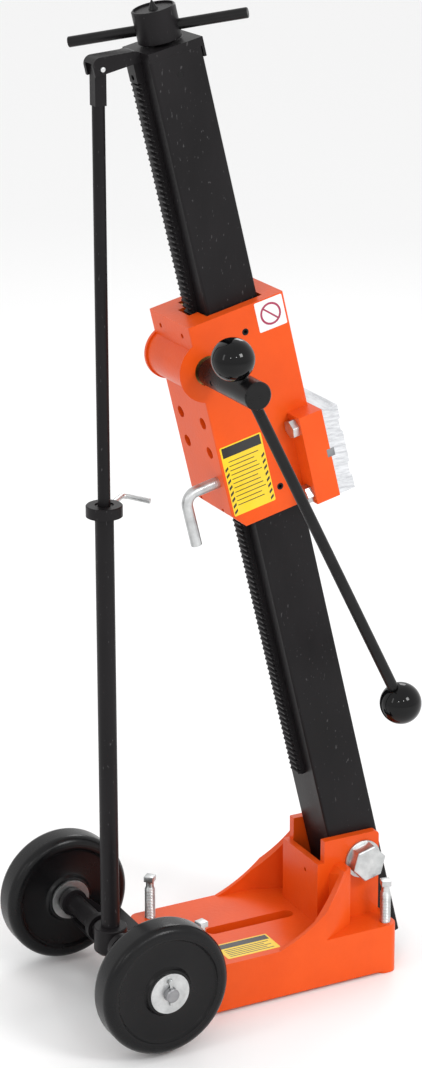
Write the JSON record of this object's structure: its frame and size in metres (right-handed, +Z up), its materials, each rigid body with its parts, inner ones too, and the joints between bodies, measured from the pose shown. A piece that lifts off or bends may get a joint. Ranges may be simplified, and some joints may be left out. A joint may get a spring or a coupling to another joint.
{
  "type": "core drill rig stand",
  "caption": "Tilting core drill stand: cast base with anchor slot and wheels, racked square mast, rack-and-pinion motor carriage, telescoping back brace and jack head.",
  "frame": {"origin": "on the floor, at the centre of the anchor slot, on the centre plane", "axes": "+X towards the rig's front (motor side), +Y to the far side from the feed handle, +Z up"},
  "size_m": [0.4432, 0.3248, 1.1588],
  "materials": {
    "orange_paint": "satin enamel over a cast surface",
    "black_paint": "satin black",
    "black_oxide": "oiled black oxide",
    "zinc": "zinc plated",
    "steel": "machined",
    "bronze": "machined bronze",
    "aluminium": "machined",
    "wheel_paint": "satin black",
    "tyre_rubber": "moulded solid rubber",
    "black_ball": "glossy phenolic"
  },
  "bodies": {
    "frame": {"base_casting": "orange_paint", "axle_bracket": "black_paint", "bracket_screws": "zinc", "axle": "steel", "axle_tubes": "black_paint", "axle_washers": "zinc", "cotter_pins": "zinc", "pivot_bolt": "zinc", "pivot_nut": "zinc", "pivot_washers": "zinc"},
    "level_screw_1": {"level_screw_1": "zinc"},
    "level_screw_2": {"level_screw_2": "zinc"},
    "level_screw_3": {"level_screw_3": "zinc"},
    "level_screw_4": {"level_screw_4": "zinc"},
    "mast": {"mast_tube": "black_paint", "pivot_sleeve": "steel", "rack": "black_paint", "rack_stop": "black_paint", "stop_screw": "black_oxide", "mast_cap": "black_paint", "jack_nut": "steel", "cap_screws": "black_oxide", "brace_fork": "black_paint", "fork_pin_heads": "zinc"},
    "jack": {"jack_screw": "black_oxide", "jack_head": "black_paint", "jack_point": "black_oxide", "tommy_bar": "black_oxide"},
    "brace_lower": {"brace_foot": "black_paint", "brace_tube": "black_paint", "brace_collar": "black_paint"},
    "brace_upper": {"brace_rod": "black_paint", "brace_pin": "steel"},
    "clamp": {"clamp_screw": "zinc"},
    "carriage": {"carriage_casting": "orange_paint", "side_pads": "bronze", "front_pads": "bronze", "back_pads": "bronze", "side_screws": "black_oxide", "back_screws": "black_oxide", "motor_spacer": "aluminium", "motor_key": "steel", "motor_bolts": "zinc", "lock_pad": "steel", "feed_bushes": "bronze", "housing_plug": "black_oxide"},
    "lock": {"lock_bolt": "zinc"},
    "feed": {"pinion_gear": "steel", "feed_shaft": "steel", "handle_hub": "black_oxide", "hub_set_screw": "black_oxide"},
    "handle": {"handle_bar": "black_oxide", "knob_top": "black_ball", "knob_bottom": "black_ball"},
    "near_wheel": {"wheel_near": "wheel_paint", "wheel_bush_near": "bronze", "tyre_near": "tyre_rubber"},
    "far_wheel": {"wheel_far": "wheel_paint", "wheel_bush_far": "bronze", "tyre_far": "tyre_rubber"}
  },
  "joints": [
    {"name": "mast_tilt", "type": "hinge", "parent": "frame", "child": "mast", "pos_m": [0.127, 0, 0.1322], "axis": [0, -1, 0], "range_deg": [-13.7, 21.3]},
    {"name": "brace_swing", "type": "hinge", "parent": "frame", "child": "brace_lower", "pos_m": [-0.181, 0, 0.0825], "axis": [0, -1, 0], "range_deg": [-13.7, 21.3]},
    {"name": "brace_slide", "type": "slide", "parent": "brace_lower", "child": "brace_upper", "axis": [-0.0058, 0, 1], "range_m": [-0.125, 0.08]},
    {"name": "clamp_turn", "type": "hinge", "parent": "brace_lower", "child": "clamp", "pos_m": [-0.18396, 0, 0.59684], "axis": [0.7313, 0.682, 0.0042], "range_deg": [-60, 60]},
    {"name": "jack_travel", "type": "slide", "parent": "mast", "child": "jack", "axis": [-0.2368, 0, 0.9715], "range_m": [0, 0.06]},
    {"name": "carriage_feed", "type": "slide", "parent": "mast", "child": "carriage", "axis": [-0.2368, 0, 0.9715], "range_m": [-0.13, 0.2]},
    {"name": "pinion_spin", "type": "hinge", "parent": "carriage", "child": "feed", "pos_m": [-0.07883, 0, 0.75477], "axis": [0, 1, 0], "range_deg": [-630, 920]},
    {"name": "handle_slide", "type": "slide", "parent": "feed", "child": "handle", "axis": [0.4478, 0, -0.8942], "range_m": [-0.39, 0]},
    {"name": "lock_turn", "type": "hinge", "parent": "carriage", "child": "lock", "pos_m": [-0.05867, -0.03, 0.61939], "axis": [-0.9715, 0, -0.2368], "range_deg": [-15, 90]},
    {"name": "near_wheel_spin", "type": "hinge", "parent": "frame", "child": "near_wheel", "pos_m": [-0.181, -0.1309, 0.0825], "axis": [0, 1, 0], "continuous": true},
    {"name": "far_wheel_spin", "type": "hinge", "parent": "frame", "child": "far_wheel", "pos_m": [-0.181, 0.1309, 0.0825], "axis": [0, 1, 0], "continuous": true},
    {"name": "level_1", "type": "slide", "parent": "frame", "child": "level_screw_1", "axis": [0, 0, 1], "range_m": [-0.001, 0.03]},
    {"name": "level_2", "type": "slide", "parent": "frame", "child": "level_screw_2", "axis": [0, 0, 1], "range_m": [-0.001, 0.03]},
    {"name": "level_3", "type": "slide", "parent": "frame", "child": "level_screw_3", "axis": [0, 0, 1], "range_m": [-0.001, 0.03]},
    {"name": "level_4", "type": "slide", "parent": "frame", "child": "level_screw_4", "axis": [0, 0, 1], "range_m": [-0.001, 0.03]}
  ],
  "couplings": [
    {"joint": "brace_swing", "follows": "mast_tilt", "ratio": 0.995},
    {"joint": "brace_slide", "follows": "mast_tilt", "m_per_rad": -0.32229},
    {"joint": "pinion_spin", "follows": "carriage_feed", "rad_per_m": 78.74}
  ]
}
